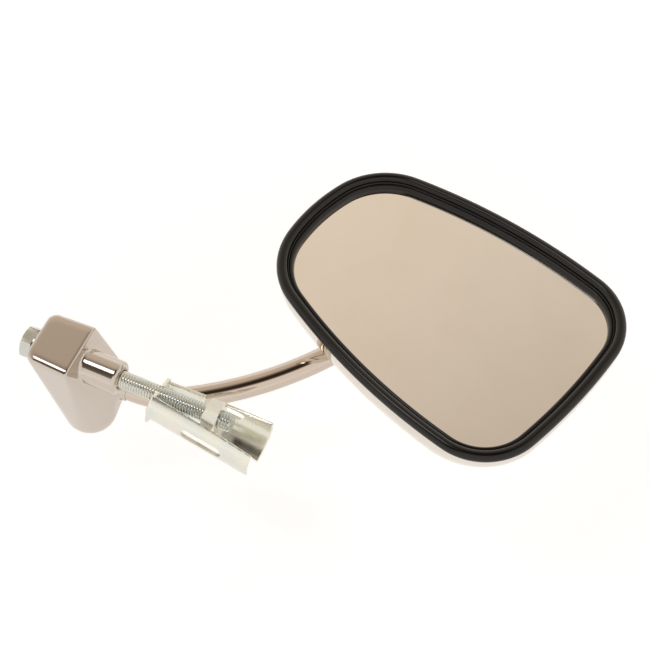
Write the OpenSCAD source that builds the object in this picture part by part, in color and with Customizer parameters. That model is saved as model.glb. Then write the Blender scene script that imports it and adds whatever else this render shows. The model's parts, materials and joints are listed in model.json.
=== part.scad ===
// Bar-end mirror for a motorcycle, of the kind that is held in the open end of a handlebar.
// A die-cast bracket carries a bent round stem with a ball at its end; the ball turns in a
// clamped socket inside the mirror head. A long bolt through the bracket pulls a nut into a
// folded steel clip, which spreads in the handlebar's bore.
// Millimetres. The origin is on the bolt's axis in the plane of the handlebar's end face.
// +X runs into the handlebar, +Z is the way the mirror faces and +Y runs towards the head.

/* [Bracket] */
// Width of the bracket's flat top at the handlebar side
top_w = 19.8; // [17:0.1:23]
// Width of the bracket's flat top at its outer end
top_w_out = 17.2; // [14:0.1:19]
// Length of the bracket's top along the bolt
top_len = 16.1; // [14:0.1:20]
// Height of the bracket's top above the bolt's axis
top_h = 8.8; // [8:0.1:10]
// Distance from the handlebar's end face back to the top's sharp edge
face_back = 3.6; // [3.2:0.1:5]
// Radius along the long edges of the top
edge_r = 1.4; // [1:0.1:2.4]
// Radius of the top's outer corners
corner_r = 3; // [2:0.1:4]
// Distance from the bolt's axis down to the centre of the round foot
foot_drop = 33; // [31:0.1:36]
// Radius of the round foot
foot_r = 9.5; // [8.4:0.1:10]
// Distance that the foot's centre lies outboard of the handlebar's end face
foot_back = 6.2; // [5:0.1:7]
// Outer radius of the neck that the stem comes out of
neck_r = 5.4; // [5.2:0.1:6.4]
// Radius of the bare spigot that centres the bracket in the handlebar
spigot_r = 5.8; // [5:0.1:7]
// Length of the spigot from the handlebar's end face
spigot_len = 10.3; // [8:0.1:16]
// Chamfer at the spigot's free end
spigot_chamfer = 0.7; // [0.3:0.1:1.2]
// Radius of the fillet at the spigot's root
root_fillet = 1.8; // [1:0.1:2.2]
// Radius of the round seat under the bolt's head
seat_r = 6.2; // [5.9:0.1:6.8]

/* [Expander] */
// Nominal diameter of the bolt
bolt_d = 6; // [5:0.5:6.5]
// Clearance between the bolt and a plain hole, on the diameter
hole_play = 0.6; // [0.3:0.1:0.8]
// Width across flats of the bolt's head and of the nut
hex_af = 10; // [8:0.5:11]
// Thickness of the bolt's head
head_t = 4; // [3:0.1:5]
// Thickness of the nut
nut_t = 5; // [4:0.1:6]
// Length of bolt that stands out past the nut
bolt_past = 4.1; // [2:0.1:8]
// Thickness of the spring washer
washer_t = 1.5; // [1:0.1:2]
// Outer radius of the spring washer
washer_r = 5.4; // [4.8:0.1:5.8]
// Sheet thickness of the clip
clip_t = 1.2; // [0.8:0.1:1.6]
// Bare bolt between the spigot's end and the clip
clip_gap = 13.2; // [1:0.1:20]
// Length of the clip
clip_len = 38.2; // [34:0.1:46]
// Outer radius of the clip at its closed end
clip_r1 = 7.6; // [7.4:0.1:8]
// Outer radius of the clip at its open end
clip_r2 = 9.8; // [8.6:0.1:10.6]
// Turn of the slack clip about the bolt, as it comes to rest
clip_roll = -20; // [-40:1:20]
// Angle by which the slack clip hangs off the bolt's axis, from its hole; 0 once it is in a bar
clip_hang = 7; // [0:0.5:7]
// Half the angle that each of the clip's two legs wraps round
clip_wrap = 46; // [36:1:60]
// Radius of the fold between the clip's end and its legs
fold_r = 2.2; // [1.8:0.1:2.6]
// Distance from the clip's closed end to the start of the slots
slot_from = 13.4; // [8:0.1:16]
// Length of the slot in each leg
slot_len = 15; // [8:0.1:17]
// Width of the slot in each leg
slot_w = 4; // [2:0.1:5]
// Distance from the clip's closed end to the middle of the nut
nut_at = 20.3; // [14:0.1:26]

/* [Stem] */
// Diameter of the round stem
stem_d = 8; // [7:0.1:9]
// Distance of the stem's axis from the bolt's axis, towards the head
stem_y = 8.4; // [7:0.1:9.5]
// Distance of the stem's axis below the bolt's axis
stem_drop = 25.4; // [24:0.1:28]
// Depth of the stem in the bracket, from the handlebar's end plane
stem_depth = 8; // [6:0.1:9]
// Distance past the handlebar's end plane where the neck ends and the stem starts to bend
neck_end = 6; // [5:0.1:8]
// Radius of the stem's first, tight bow
bow_r1 = 41.4; // [36:0.1:50]
// Angle of the first bow
bow_a1 = 31.5; // [26:0.1:36]
// Radius of the stem's second, long bow
bow_r2 = 134.2; // [120:0.1:150]
// Angle of the second bow
bow_a2 = 29.8; // [25:0.1:33]
// Tilt of the plane of both bows
bow_tilt = 5.8; // [3:0.1:9]
// Radius of the bend behind the head that turns the stem into it
heel_r = 8.2; // [7:0.1:10]
// Diameter of the ball at the stem's end
ball_d = 12; // [11.6:0.1:12.4]
// Diameter of the turned neck under the ball
ball_neck_d = 6; // [5:0.1:6.4]
// Length from the end of the bend to the ball's centre
ball_neck_len = 8.2; // [7.9:0.1:10]
// Diameter of the set screw that holds the stem
grub_d = 5; // [4:0.5:6]
// Length of the set screw
grub_len = 8; // [5:0.5:10]
// Lean of the set screw from straight down
grub_lean = 30; // [20:1:40]

/* [Mirror head] */
// Length of the rim between its sharp corners
rim_l = 104.7; // [95:0.1:120]
// Width of the rim's narrow end between its sharp corners
rim_w1 = 57.9; // [52:0.1:66]
// Width of the rim's wide end between its sharp corners
rim_w2 = 79.4; // [72:0.1:88]
// Bulge of the narrow end
bulge_1 = 6.8; // [4:0.1:8]
// Bulge of the wide end
bulge_2 = 4.1; // [3:0.1:6]
// Bulge of the two long sides
bulge_side = 6.2; // [4:0.1:8]
// Corner radius at the narrow end
rim_r1 = 26.6; // [22:0.1:29]
// Corner radius at the wide end
rim_r2 = 22.6; // [18:0.1:27]
// Turn of the head about the way it faces
head_turn = -18.4; // [-30:0.1:-8]
// Tip of the head along its length
head_tip = -2.4; // [-8:0.1:4]
// Distance from the ball to the middle of the head, along its length
ball_off = 19.9; // [14:0.1:22]
// Depth of the ball's centre behind the rim's widest line
ball_depth = 11.8; // [11.8:0.1:13]
// Depth of the shell's back behind the rim's widest line
shell_depth = 18.4; // [18.4:0.1:19.6]
// Sheet thickness of the shell
shell_t = 0.8; // [0.6:0.1:1]
// How far the shell's edge is set in from the rim's widest line
shell_in = 1.0; // [0.6:0.1:1.4]
// Length of the shell's flat back as a share of its rim
back_l = 0.62; // [0.58:0.01:0.7]
// Width of the shell's flat back as a share of its rim
back_w = 0.46; // [0.44:0.01:0.6]
// Thickness of the mirror glass
glass_t = 2; // [1.8:0.1:2.2]
// Depth of the glass's front behind the rim's widest line
glass_down = 2.8; // [2.4:0.1:2.9]
// Width of the rim from its widest line in to the edge of the visible glass
rim_band = 5.8; // [5.4:0.1:6.6]
// Overlap of the rim's lip on the glass
lip_over = 0.9; // [0.6:0.1:1.4]
// Thickness of the pad behind the glass
pad_t = 0.5; // [0.3:0.1:0.5]

/* [Ball socket] */
// Wall of the friction cup that lines the socket
cup_t = 1; // [0.8:0.1:1.2]
// Wall of the pressure pad over the ball
pad_wall = 0.8; // [0.7:0.1:0.8]
// Sheet thickness of the socket plate and the retainer
plate_t = 1; // [0.8:0.1:1.2]
// Radius of the socket plate's and the retainer's flanges
flange_r = 13.5; // [13:0.1:14.4]
// Radius of the circle that the studs stand on
stud_pcd_r = 10.3; // [10:0.1:10.8]
// Diameter of the studs
stud_d = 3; // [2.5:0.1:3.2]
// Width across flats of the stud nuts
stud_af = 5.5; // [5:0.1:5.8]
// Thickness of the stud nuts
stud_nut_t = 2.2; // [1.8:0.1:2.3]
// Thickness of the spring washers under the stud nuts
stud_washer_t = 0.8; // [0.6:0.1:0.9]
// Radius of the hole in the shell that the stem's neck swings in
swing_r = 5.2; // [5.1:0.1:5.4]

/* [Hidden] */

chrome_tint = [0.74, 0.70, 0.66];
zinc_tint = [0.72, 0.75, 0.70];
rubber_tint = [0.07, 0.06, 0.06];
glass_tint = [0.80, 0.74, 0.68];

run_play = 0.05;      // radial play of a pin or ball that turns in its seat
rest_gap = 0.15;      // gap between faces that slide on each other
e = 0.01;             // overlap of a cutting tool

bolt_r = bolt_d / 2;
hole_r = bolt_r + hole_play / 2;
outer_x = -(face_back + top_len);                  // outer seat face of the bracket
head_x = outer_x - washer_t - rest_gap;            // under-face of the bolt's head
clip_x = spigot_len + clip_gap;                    // closed end of the clip
nut_x = clip_x + nut_at;                           // middle of the nut
bolt_end = nut_x + nut_t / 2 + bolt_past;
clip_slope = (clip_r2 - clip_r1) / clip_len;
clip_lean = 33;       // way the clip hangs: from straight down towards the rider

stem_r = stem_d / 2;
ball_r = ball_d / 2;
ball_neck_r = ball_neck_d / 2;

// Frames along the stem: [point, direction, direction of bending]
function bent(f, r, a) = [
    f[0] + r * sin(a) * f[1] + r * (1 - cos(a)) * f[2],
    cos(a) * f[1] + sin(a) * f[2],
    cos(a) * f[2] - sin(a) * f[1]];
function unit(v) = v / norm(v);
face_dir = [sin(head_tip) * cos(head_turn), sin(head_tip) * sin(head_turn), cos(head_tip)];
bow_0 = [[neck_end, stem_y, -stem_drop], [1, 0, 0], [0, cos(bow_tilt), sin(bow_tilt)]];
bow_1 = bent(bow_0, bow_r1, bow_a1);
bow_2 = bent(bow_1, bow_r2, bow_a2);
heel_a = 90 - asin(bow_2[1] * face_dir);
heel_dir = unit(face_dir - (face_dir * bow_2[1]) * bow_2[1]);
heel_roll = atan2(heel_dir * cross(bow_2[1], bow_2[2]), heel_dir * bow_2[2]);
heel_end = bent([bow_2[0], bow_2[1], heel_dir], heel_r, heel_a);
ball_at = heel_end[0] + ball_neck_len * face_dir;

// Rim outline: two end arcs, two long arcs and four corner arcs, all tangent
rim_shape = [rim_l, rim_w1, rim_w2, bulge_1, bulge_2, bulge_side, rim_r1, rim_r2];
n_wide = 3; n_corner = 7; n_side = 9; n_narrow = 3;
function arc_r(chord, rise) = (chord * chord / 4 + rise * rise) / (2 * rise);
// Crossing point of two circles, on the left of the line from the first to the second
function cross_at(c, r, d, q) = let (l = norm(d - c), u = (d - c) / l,
    a = (r * r - q * q + l * l) / (2 * l), h = sqrt(r * r - a * a))
    c + a * u + h * [-u[1], u[0]];
function sweep(c, r, a, b, n) = [for (i = [0:n - 1])
    let (t = a + (b - a) * i / n) c + r * [cos(t), sin(t)]];
function way(v) = atan2(v[1], v[0]);
// One half of the outline, from the wide end's middle to the narrow end's, moved in by w
function half_loop(s, w) = let (
    a = [-s[0] / 2, s[1] / 2], b = [s[0] / 2, s[2] / 2],
    r1 = arc_r(s[1], s[3]), r2 = arc_r(s[2], s[4]), rs = arc_r(norm(b - a), s[5]),
    e1 = [-s[0] / 2 - s[3] + r1, 0], e2 = [s[0] / 2 + s[4] - r2, 0],
    m = [-(b - a)[1], (b - a)[0]] / norm(b - a), es = (a + b) / 2 + m * (s[5] - rs),
    k1 = cross_at(es, rs - s[6], e1, r1 - s[6]),
    k2 = cross_at(e2, r2 - s[7], es, rs - s[7]))
    concat(
        sweep(e2, r2 - w, 0, way(k2 - e2), n_wide),
        sweep(k2, s[7] - w, way(k2 - e2), way(k2 - es), n_corner),
        sweep(es, rs - w, way(k2 - es), way(k1 - es), n_side),
        sweep(k1, s[6] - w, way(k1 - es), way(k1 - e1), n_corner),
        sweep(e1, r1 - w, way(k1 - e1), 180, n_narrow),
        [e1 - [r1 - w, 0]]);
function loop(s, w) = let (u = half_loop(s, w))
    concat(u, [for (i = [len(u) - 2:-1:1]) [u[i][0], -u[i][1]]]);
function lift(p, z) = [for (v = p) [v[0], v[1], z]];

module along_x() rotate([0, 90, 0]) children();
module on_head() translate(ball_at) rotate([0, head_tip, head_turn]) children();
module on_rim() on_head() translate([ball_off, 0, ball_depth]) children();

module nut_blank(af, t, chamfer) {
    intersection() {
        cylinder(r = af / 2 / cos(30), h = t, $fn = 6);
        rotate_extrude($fn = 48)
            polygon([[0, 0], [af / 2 - 0.1, 0], [af / 2 / cos(30) + 0.02, chamfer],
                [af / 2 / cos(30) + 0.02, t - chamfer], [af / 2 - 0.1, t], [0, t]]);
    }
}

// Stack of equal point loops joined into one closed skin; ends capped, or joined to each other
module skin(rings, ring_closed = false) {
    n = len(rings[0]);
    m = len(rings);
    last = ring_closed ? m - 1 : m - 2;
    polyhedron(
        points = [for (r = rings) for (p = r) p],
        faces = concat(
            [for (i = [0:last]) for (j = [0:n - 1]) let (k = (i + 1) % m, l = (j + 1) % n)
                [i * n + j, i * n + l, k * n + l]],
            [for (i = [0:last]) for (j = [0:n - 1]) let (k = (i + 1) % m, l = (j + 1) % n)
                [i * n + j, k * n + l, k * n + j]],
            ring_closed ? [] : [[for (j = [n - 1:-1:0]) j], [for (j = [0:n - 1]) (m - 1) * n + j]]),
        convexity = 8);
}

// Length of rod bent about a centre on its +Y side, starting along +X. It starts a hair early
// and slim_by thinner, so that it runs into the rod before it.
module bent_rod(r, a, slim_by = 0) {
    early = 6 / r;
    translate([0, r, 0]) rotate([0, 0, -90])
        rotate_extrude(angle = a + early, start = -early, $fn = 96)
            translate([r, 0]) circle(r = stem_r - slim_by, $fn = 48);
}
module after_bend(r, a)
    translate([r * sin(a), r * (1 - cos(a)), 0]) rotate([0, 0, a]) children();

module bracket_body() {
    color(chrome_tint)
    difference() {
        union() {
            // cast arm: flat top, sloping flanks, round foot and the side that holds the stem
            hull() {
                for (s = [-1, 1]) {
                    translate([-face_back - top_len / 2, s * (top_w / 2 - edge_r), top_h - edge_r])
                        along_x() cylinder(r = edge_r, h = top_len / 2 - 0.4, $fn = 32);
                    translate([-face_back - 0.4, s * (top_w / 2 - edge_r), top_h - edge_r])
                        along_x() cylinder(r1 = edge_r, r2 = edge_r - 0.4, h = 0.4, $fn = 32);
                    translate([outer_x + corner_r, s * (top_w_out / 2 - corner_r),
                        top_h - corner_r]) sphere(r = corner_r, $fn = 32);
                }
                translate([-foot_back, 0, -foot_drop]) sphere(r = foot_r, $fn = 48);
                translate([-stem_depth - 1.5, stem_y, -stem_drop]) along_x()
                    cylinder(r = neck_r, h = stem_depth + 1.5 + neck_end - 3, $fn = 48);
            }
            // collar that runs out on the stem
            translate([0, stem_y, -stem_drop]) along_x() rotate_extrude($fn = 64)
                polygon(concat([[0, neck_end - 3 - e]], [for (i = [0:6]) let (a = 15 * i)
                    [neck_r - (neck_r - stem_r - 0.5) * sin(a),
                        neck_end - 3 * cos(a)]], [[0, neck_end]]));
            // spigot with its root fillet
            translate([-face_back - 2, 0, 0]) along_x()
                cylinder(r = spigot_r, h = spigot_len + face_back + 2 - spigot_chamfer, $fn = 96);
            translate([spigot_len - spigot_chamfer, 0, 0]) along_x()
                cylinder(r1 = spigot_r, r2 = spigot_r - spigot_chamfer, h = spigot_chamfer, $fn = 96);
            translate([-root_fillet, 0, 0]) along_x() rotate_extrude($fn = 64)
                polygon(concat([[spigot_r - 1, 0]], [for (i = [0:6]) let (a = 15 * i)
                    [spigot_r + root_fillet * (1 - sin(a)), root_fillet * (1 - cos(a))]],
                    [[spigot_r - 1, root_fillet]]));
            // seat under the bolt's head
            translate([outer_x, 0, 0]) along_x() cylinder(r = seat_r, h = top_len / 2, $fn = 64);
        }
        translate([outer_x - 1, 0, 0]) along_x()
            cylinder(r = hole_r, h = spigot_len - outer_x + 2, $fn = 64);
        translate([-stem_depth, stem_y, -stem_drop]) along_x()
            cylinder(r = stem_r + run_play, h = stem_depth + neck_end + 1, $fn = 64);
        translate([-stem_depth / 4, stem_y, -stem_drop]) rotate([180 - grub_lean, 0, 0])
            cylinder(r = grub_d / 2, h = foot_drop, $fn = 48);
    }
}

module stem_grub_screw() {
    color("dimgray")
    translate([-stem_depth / 4, stem_y, -stem_drop]) rotate([180 - grub_lean, 0, 0])
    translate([0, 0, stem_r + rest_gap])
    difference() {
        union() {
            cylinder(r1 = grub_d / 2 - 0.8, r2 = grub_d / 2 - run_play, h = 0.8, $fn = 48);
            translate([0, 0, 0.8]) cylinder(r = grub_d / 2 - run_play, h = grub_len - 0.8, $fn = 48);
        }
        translate([0, 0, grub_len - 2.5]) cylinder(r = 2.5 / 2 / cos(30), h = 3, $fn = 6);
    }
}

module spring_washer() {
    color("gray")
    translate([outer_x - washer_t, 0, 0]) along_x()
        rotate_extrude(angle = 350, start = 95, $fn = 64)
            polygon([[bolt_r + 0.15, 0], [washer_r, 0], [washer_r, washer_t], [bolt_r + 0.15, washer_t]]);
}

module expander_bolt() {
    color(zinc_tint)
    union() {
        translate([head_x - head_t, 0, 0]) along_x() difference() {
            nut_blank(hex_af, head_t, 0.5);
            translate([0, 0, head_t - 0.5]) difference() {
                cylinder(r = hex_af, h = 1, $fn = 24);
                translate([0, 0, -1]) cylinder(r = hex_af, h = 1 + 0.5, $fn = 24);
            }
        }
        translate([head_x - 1, 0, 0]) along_x()
            cylinder(r = bolt_r, h = bolt_end - head_x + 1 - 0.6, $fn = 64);
        translate([bolt_end - 0.6, 0, 0]) along_x()
            cylinder(r1 = bolt_r, r2 = bolt_r - 0.6, h = 0.6, $fn = 64);
    }
}

// Section of one leg with its fold, radius against distance from the closed end
function clip_outer(x) = clip_r1 + clip_slope * x;
module clip_section() {
    polygon(concat(
        [[hole_r + 1, 0]],
        [for (i = [0:5]) let (a = 18 * i)
            [clip_outer(fold_r) - fold_r + fold_r * sin(a), fold_r - fold_r * cos(a)]],
        [[clip_outer(clip_len), clip_len], [clip_outer(clip_len) - clip_t, clip_len]],
        [for (i = [5:-1:0]) let (a = 18 * i)
            [clip_outer(fold_r) - fold_r + (fold_r - clip_t) * sin(a),
                fold_r - (fold_r - clip_t) * cos(a)]],
        [[hole_r + 1, clip_t]]));
}

module expander_clip() {
    color(zinc_tint)
    translate([clip_x + clip_t / 2, 0, 0])
    rotate([clip_roll, clip_hang * cos(clip_lean), -clip_hang * sin(clip_lean)])
    translate([-clip_t / 2, 0, 0])
    difference() {
        along_x() {
            cylinder(r = clip_outer(fold_r) - fold_r, h = clip_t, $fn = 64);
            for (a = [90, 270])
                rotate_extrude(angle = 2 * clip_wrap, start = a - clip_wrap, $fn = 96)
                    clip_section();
        }
        translate([-1, 0, 0]) along_x() cylinder(r = hole_r, h = clip_t + 2, $fn = 64);
        // round-ended slot across both legs
        translate([slot_from + slot_w / 2, 0, 0]) rotate([90, 0, 0])
            cylinder(r = slot_w / 2, h = 30, center = true, $fn = 32);
        translate([slot_from + slot_len - slot_w / 2, 0, 0]) rotate([90, 0, 0])
            cylinder(r = slot_w / 2, h = 30, center = true, $fn = 32);
        translate([slot_from + slot_w / 2, -15, -slot_w / 2])
            cube([slot_len - slot_w, 30, slot_w]);
    }
}

module expander_nut() {
    color(zinc_tint)
    translate([nut_x - nut_t / 2, 0, 0]) rotate([clip_roll + 30, 0, 0]) along_x() difference() {
        nut_blank(hex_af, nut_t, 0.6);
        translate([0, 0, -1]) cylinder(r = bolt_r + run_play, h = nut_t + 2, $fn = 64);
    }
}

module stem() {
    color(chrome_tint)
    translate(bow_0[0]) rotate([bow_tilt, 0, 0]) {
        translate([-neck_end - stem_depth + rest_gap, 0, 0]) along_x()
            cylinder(r = stem_r, h = neck_end + stem_depth - rest_gap, $fn = 48);
        bent_rod(bow_r1, bow_a1, 0.03);
        after_bend(bow_r1, bow_a1) {
            bent_rod(bow_r2, bow_a2);
            after_bend(bow_r2, bow_a2) rotate([heel_roll, 0, 0]) {
                bent_rod(heel_r, heel_a, 0.03);
                after_bend(heel_r, heel_a) along_x() {
                    translate([0, 0, -0.1])
                        cylinder(r1 = stem_r, r2 = ball_neck_r, h = 0.8, $fn = 48);
                    cylinder(r = ball_neck_r, h = ball_neck_len, $fn = 48);
                    translate([0, 0, ball_neck_len]) sphere(r = ball_r, $fn = 64);
                }
            }
        }
    }
}

cup_in = ball_r + run_play;
cup_out = cup_in + cup_t;
seat_in = cup_out + run_play;
seat_out = seat_in + plate_t;
back_in = -(shell_depth - ball_depth - shell_t);   // inner face of the shell's back
plate_z = back_in + run_play;                      // under-face of the socket plate
keep_in = cup_in + pad_wall + run_play;
keep_z = 2;                                        // under-face of the retainer's flange
keep_top = keep_z + plate_t;
stud_top = keep_top + stud_washer_t + stud_nut_t + 0.3;

module friction_cup() {
    color("whitesmoke")
    on_head() difference() {
        intersection() {
            sphere(r = cup_out, $fn = 64);
            translate([0, 0, -4.3]) cylinder(r = cup_out + 1, h = 4.3 - 0.6, $fn = 64);
        }
        sphere(r = cup_in, $fn = 64);
    }
}

module pressure_pad() {
    color("whitesmoke")
    on_head() difference() {
        intersection() {
            sphere(r = cup_in + pad_wall, $fn = 64);
            translate([0, 0, keep_z + 0.3]) cylinder(r = cup_out + 1, h = 3.3, $fn = 64);
        }
        sphere(r = cup_in, $fn = 64);
    }
}

module stud_circle() for (a = [90, 210, 330]) rotate([0, 0, a]) translate([stud_pcd_r, 0, 0]) children();

module socket_plate() {
    color(zinc_tint)
    on_head() difference() {
        union() {
            intersection() {
                sphere(r = seat_out, $fn = 64);
                translate([0, 0, plate_z]) cylinder(r = seat_out + 1, h = -plate_z - 0.8, $fn = 64);
            }
            translate([0, 0, plate_z]) cylinder(r = flange_r, h = plate_t, $fn = 64);
        }
        sphere(r = seat_in, $fn = 64);
        translate([0, 0, plate_z - 1]) cylinder(r = swing_r, h = 3, $fn = 48);
        stud_circle() translate([0, 0, plate_z - 1])
            cylinder(r = stud_d / 2 + run_play, h = plate_t + 2, $fn = 32);
    }
}

module retainer_plate() {
    color(zinc_tint)
    on_head() difference() {
        union() {
            intersection() {
                sphere(r = keep_in + plate_t, $fn = 64);
                translate([0, 0, keep_z]) cylinder(r = keep_in + 2, h = 4.2 - e, $fn = 64);
            }
            translate([0, 0, keep_z]) cylinder(r = flange_r, h = plate_t, $fn = 64);
        }
        sphere(r = keep_in, $fn = 64);
        translate([0, 0, keep_z]) cylinder(r = 3.6, h = 8, $fn = 48);
        stud_circle() translate([0, 0, keep_z - 1])
            cylinder(r = stud_d / 2 + 0.15, h = plate_t + 2, $fn = 32);
    }
}

module socket_studs() {
    color("gray")
    on_head() stud_circle() {
        translate([0, 0, plate_z]) cylinder(r = stud_d / 2, h = stud_top - plate_z, $fn = 32);
        translate([0, 0, plate_z + plate_t + run_play]) cylinder(r = stud_d / 2 + 0.9, h = 0.8, $fn = 32);
    }
}

module stud_washers() {
    color("gray")
    on_head() stud_circle() translate([0, 0, keep_top])
        rotate_extrude(angle = 345, $fn = 32)
            polygon([[stud_d / 2 + 0.1, 0], [stud_d / 2 + 1.1, 0],
                [stud_d / 2 + 1.1, stud_washer_t], [stud_d / 2 + 0.1, stud_washer_t]]);
}

module stud_nuts() {
    color("gray")
    on_head() stud_circle() translate([0, 0, keep_top + stud_washer_t]) difference() {
        nut_blank(stud_af, stud_nut_t, 0.3);
        translate([0, 0, -1]) cylinder(r = stud_d / 2 + run_play, h = stud_nut_t + 2, $fn = 32);
    }
}

// Depth of the line where the shell's edge meets the rim, and the rim's channel for the glass
edge_z = 4.6;
glass_edge = rim_band - lip_over;
glass_back = glass_down + glass_t;
pad_back = glass_back + pad_t;

// Shell loop at t from 0 at its edge to 1 at its flat back, moved in by w
function shell_loop(t, w) = let (
    kl = back_l + (1 - back_l) * pow(cos(90 * t), 0.95),
    kw = back_w + (1 - back_w) * pow(cos(90 * t), 0.67),
    s = [rim_l * kl, rim_w1 * kw, rim_w2 * kw, bulge_1 * kw, bulge_2 * kw, bulge_side * kl,
        rim_r1 * kw, rim_r2 * kw + 7 * sin(90 * t)])
    loop(s, shell_in * kw + w);
function shell_z(t) = -edge_z - (shell_depth - edge_z) * pow(sin(90 * t), 0.8);
shell_steps = [0, 0.04, 0.1, 0.18, 0.28, 0.4, 0.52, 0.64, 0.76, 0.88, 1];

module back_shell() {
    color(chrome_tint)
    difference() {
        on_rim() skin(concat(
            [for (i = [len(shell_steps) - 1:-1:0]) let (t = shell_steps[i])
                lift(shell_loop(t, shell_t * cos(90 * t)), shell_z(t) + shell_t * sin(90 * t))],
            [for (t = shell_steps) lift(shell_loop(t, 0), shell_z(t))]));
        on_head() translate([0, 0, back_in - shell_t - 1]) cylinder(r = swing_r, h = shell_t + 2, $fn = 48);
    }
}

// Rim section: distance in from the widest line against height above it
rim_section = [
    [shell_in + 0.1, -edge_z], [0.5, -3.6], [0.1, -2.0], [0, -0.4], [0.35, 0.75], [1.1, 1.45],
    [2.1, 1.7], [3.0, 1.35], [3.5, 0.6], [3.7, -0.35], [4.05, -0.75], [4.4, -0.55], [4.8, -0.45],
    [rim_band - 0.55, -0.7], [rim_band - 0.15, -1.4], [rim_band, -glass_down + 0.5],
    [rim_band, -glass_down + run_play], [glass_edge, -glass_down + run_play],
    [glass_edge, -pad_back - run_play], [glass_edge + 0.6, -pad_back - 0.4],
    [glass_edge - 0.4, -pad_back - 1.2], [glass_edge - 0.8, -pad_back - 2],
    [shell_in + shell_t + 1.4, -pad_back - 2], [shell_in + shell_t + 0.9, -edge_z - 1.2],
    [shell_in + shell_t + run_play, -edge_z]];

module rim_bezel() {
    color(rubber_tint)
    on_rim() skin([for (i = [len(rim_section) - 1:-1:0]) let (q = rim_section[i])
        lift(loop(rim_shape, q[0]), q[1])], ring_closed = true);
}

module mirror_glass() {
    color(glass_tint)
    on_rim() translate([0, 0, -glass_back])
        linear_extrude(glass_t) polygon(loop(rim_shape, glass_edge + run_play));
}

module glass_backing() {
    color("darkgray")
    on_rim() translate([0, 0, -pad_back])
        linear_extrude(pad_t) polygon(loop(rim_shape, glass_edge + 2 * run_play));
}

bracket_body();
stem_grub_screw();
spring_washer();
expander_bolt();
expander_clip();
expander_nut();
stem();
friction_cup();
pressure_pad();
socket_plate();
retainer_plate();
socket_studs();
stud_washers();
stud_nuts();
back_shell();
rim_bezel();
mirror_glass();
glass_backing();
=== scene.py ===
import json
import bmesh
import bpy
import numpy as np
from mathutils import Matrix


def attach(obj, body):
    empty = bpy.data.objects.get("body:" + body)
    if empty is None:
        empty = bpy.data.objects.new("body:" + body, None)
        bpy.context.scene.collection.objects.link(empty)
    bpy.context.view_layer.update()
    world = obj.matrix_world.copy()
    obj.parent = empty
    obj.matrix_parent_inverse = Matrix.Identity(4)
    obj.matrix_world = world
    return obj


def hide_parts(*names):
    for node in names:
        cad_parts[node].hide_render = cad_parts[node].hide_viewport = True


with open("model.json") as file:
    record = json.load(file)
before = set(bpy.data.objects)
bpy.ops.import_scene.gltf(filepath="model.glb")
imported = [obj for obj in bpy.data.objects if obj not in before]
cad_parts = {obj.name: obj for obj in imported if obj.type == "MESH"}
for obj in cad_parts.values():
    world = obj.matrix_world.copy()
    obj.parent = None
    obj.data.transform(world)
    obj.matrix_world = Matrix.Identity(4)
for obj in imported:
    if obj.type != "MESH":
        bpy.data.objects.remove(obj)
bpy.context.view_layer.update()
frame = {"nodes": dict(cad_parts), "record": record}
print("frame loaded")

mm = 0.001  # every length below is in millimetres until a mesh is made
speck = 1e-3  # radius at which a round end closes


# small helpers

def linear(hexColour):
    # sRGB to linear: c/12.92 below 0.04045, else ((c + 0.055) / 1.055) ** 2.4
    c = np.array([int(hexColour[i:i + 2], 16) for i in (0, 2, 4)]) / 255
    c = np.where(c < 0.04045, c / 12.92, ((c + 0.055) / 1.055) ** 2.4)
    return (*c.tolist(), 1.0)


def addNode(tree, kind, links=None, **settings):
    # settings whose name is a socket go on that socket, the others on the node itself;
    # i0, i1 and so on are sockets by number
    node = tree.nodes.new(kind)
    for name, value in settings.items():
        numbered = name[0] == "i" and name[1:].isdigit()
        key = int(name[1:]) if numbered else name.replace("_", " ")
        if isinstance(key, int) or key in node.inputs:
            node.inputs[key].default_value = value
        else:
            setattr(node, name, value)
    for socket, source in (links or {}).items():
        tree.links.new(source, node.inputs[socket])
    return node


def rampStops(node, stops):
    # colour stops as (position, hex)
    ramp = node.color_ramp
    while len(ramp.elements) > 1:
        ramp.elements.remove(ramp.elements[-1])
    ramp.elements[0].position, ramp.elements[0].color = stops[0][0], linear(stops[0][1])
    for position, colour in stops[1:]:
        ramp.elements.new(position).color = linear(colour)


def newMaterial(name):
    material = bpy.data.materials.new(name)
    material.use_nodes = True
    material.node_tree.nodes.clear()
    return material, material.node_tree


def finishMaterial(tree, shader):
    addNode(tree, "ShaderNodeOutputMaterial", links={"Surface": shader.outputs[0]})


def patternScale(size):
    # a pattern's scale on coordinates in metres, from the width of one of its features in mm
    return 1000 / size


def linked(name, data):
    thing = bpy.data.objects.new(name, data)
    bpy.context.scene.collection.objects.link(thing)
    return thing


def axesMatrix(x, y, z, place=(0, 0, 0)):
    # the columns are the thing's own three axes, and its place in mm
    rows = np.column_stack([x, y, z])
    return Matrix([[*row, p * mm] for row, p in zip(rows, place)] + [[0, 0, 0, 1]])


def gridQuads(rows, columns, rowsClosed=False):
    # quad (i, j) joins rows i and i+1 with columns j and j+1; columns always wrap round
    i = np.arange(rows if rowsClosed else rows - 1)[:, None]
    j = np.arange(columns)[None, :]
    k, l = (i + 1) % rows, (j + 1) % columns
    corners = [i * columns + j, i * columns + l, k * columns + l, k * columns + j]
    return np.stack(corners, -1).reshape(-1, 4)


def endCaps(rows, columns):
    # one face over the first row and one over the last, facing apart
    first = list(range(columns))[::-1]
    return [first, list(range((rows - 1) * columns, rows * columns))]


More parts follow.
